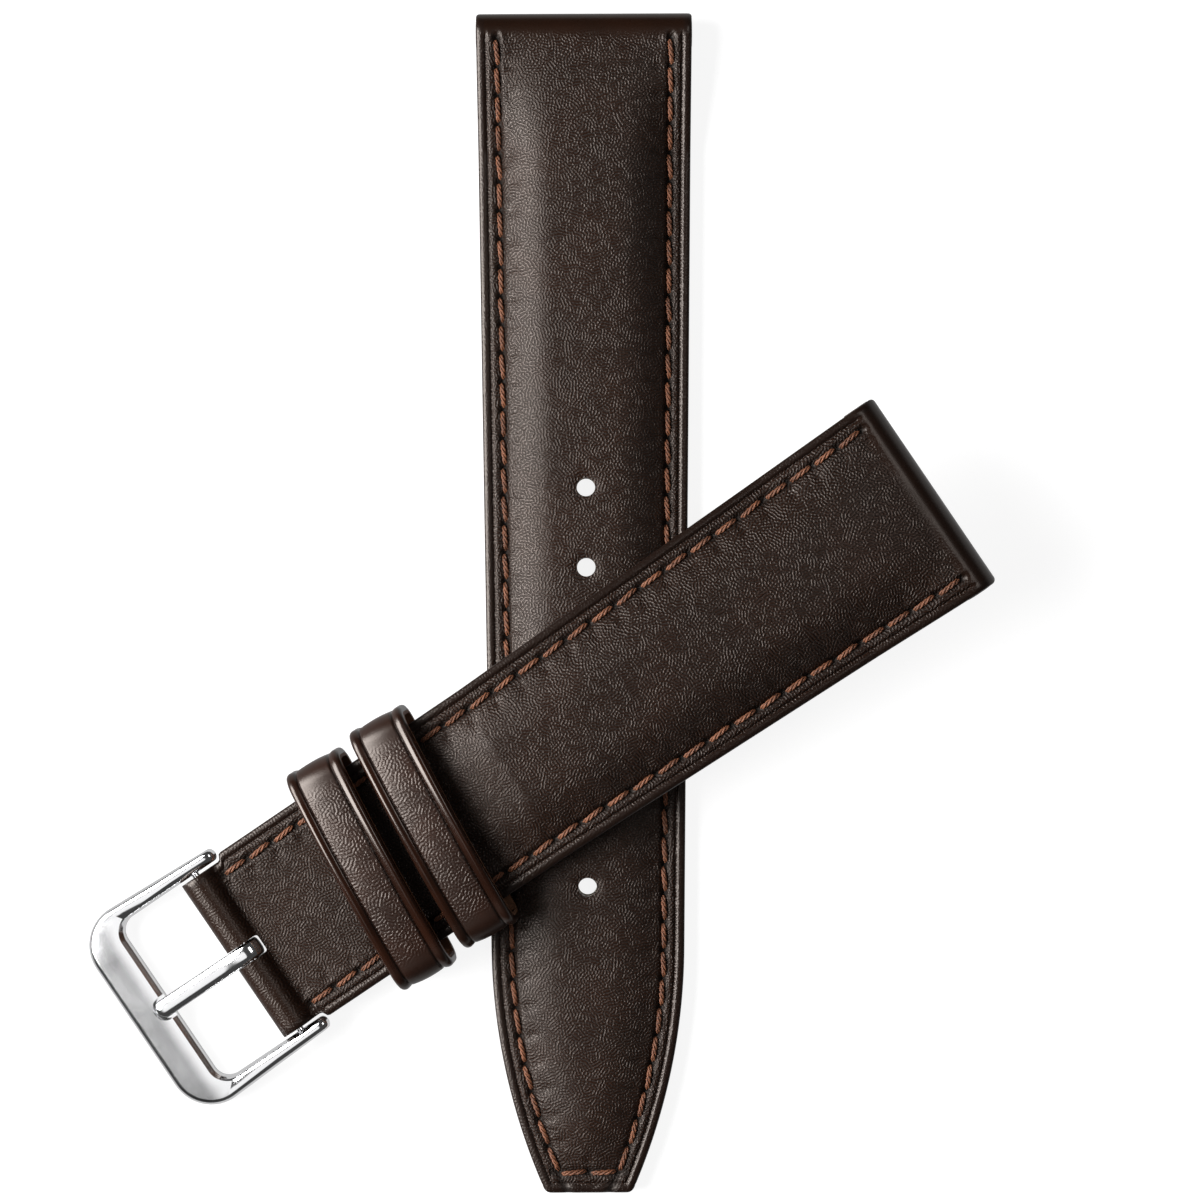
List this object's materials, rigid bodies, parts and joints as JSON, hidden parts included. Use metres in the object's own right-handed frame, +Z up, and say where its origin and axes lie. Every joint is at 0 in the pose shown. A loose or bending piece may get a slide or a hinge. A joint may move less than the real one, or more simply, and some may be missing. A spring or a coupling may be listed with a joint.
{
  "type": "leather watch strap",
  "caption": "Two-piece padded leather watch strap with stitched edges, a tang buckle on a spring bar, a fixed and a sliding keeper, and spring bar holes at both lug ends.",
  "frame": {"origin": "middle of the bounding box, on the surface that the strap lies on", "axes": "+Y along the hole half towards its lug end, +Z up; the buckle half crosses over it, its lug end towards +X"},
  "size_m": [0.0918, 0.1203, 0.0142],
  "materials": {
    "dark_leather": "satin",
    "keeper_leather": "gloss",
    "lining_leather": "matte",
    "loop_strip": "matte",
    "pad_fill": "matte",
    "thread": "matte",
    "buckle_steel": "polished",
    "tongue_steel": "polished",
    "bar_steel": "satin",
    "spring_steel": "satin"
  },
  "bodies": {
    "long_half": {"long_face_leather": "dark_leather", "long_padding": "pad_fill", "long_lining": "lining_leather", "long_bar_loop": "loop_strip", "long_top_thread": "thread", "long_under_thread": "thread"},
    "short_half": {"short_face_leather": "dark_leather", "short_padding": "pad_fill", "short_lining": "lining_leather", "short_bar_loop": "loop_strip", "short_top_thread": "thread", "short_under_thread": "thread", "fixed_keeper": "keeper_leather", "fixed_keeper_lining": "lining_leather", "spring_bar_tube": "bar_steel", "spring_bar_spring": "spring_steel"},
    "sliding_keeper": {"floating_keeper": "keeper_leather", "floating_keeper_lining": "lining_leather"},
    "buckle": {"buckle_frame": "buckle_steel"},
    "tongue": {"buckle_tongue": "tongue_steel"},
    "left_pin": {"spring_bar_pin_left": "bar_steel"},
    "right_pin": {"spring_bar_pin_right": "bar_steel"}
  },
  "joints": [
    {"name": "short_lift", "type": "slide", "parent": "long_half", "child": "short_half", "axis": [0, 0, 1], "range_m": [0, 0.03]},
    {"name": "keeper_slide", "type": "slide", "parent": "short_half", "child": "sliding_keeper", "axis": [0.8246, 0.5541, 0.1137], "range_m": [-0.0017, 0.038]},
    {"name": "buckle_swing", "type": "hinge", "parent": "short_half", "child": "buckle", "pos_m": [-0.02953, -0.03533, 0.00259], "axis": [-0.5577, 0.83, 0], "range_deg": [-70, 30]},
    {"name": "tongue_swing", "type": "hinge", "parent": "buckle", "child": "tongue", "pos_m": [-0.02953, -0.03533, 0.00259], "axis": [-0.5577, 0.83, 0], "range_deg": [0, 70]},
    {"name": "left_pin_slide", "type": "slide", "parent": "short_half", "child": "left_pin", "axis": [0.5577, -0.83, 0], "range_m": [0, 0.001], "stiffness_N_per_m": 150, "springref_m": -0.004, "deforming": ["spring_bar_spring"]},
    {"name": "right_pin_slide", "type": "slide", "parent": "short_half", "child": "right_pin", "axis": [-0.5577, 0.83, 0], "range_m": [0, 0.001], "stiffness_N_per_m": 150, "springref_m": -0.004}
  ]
}
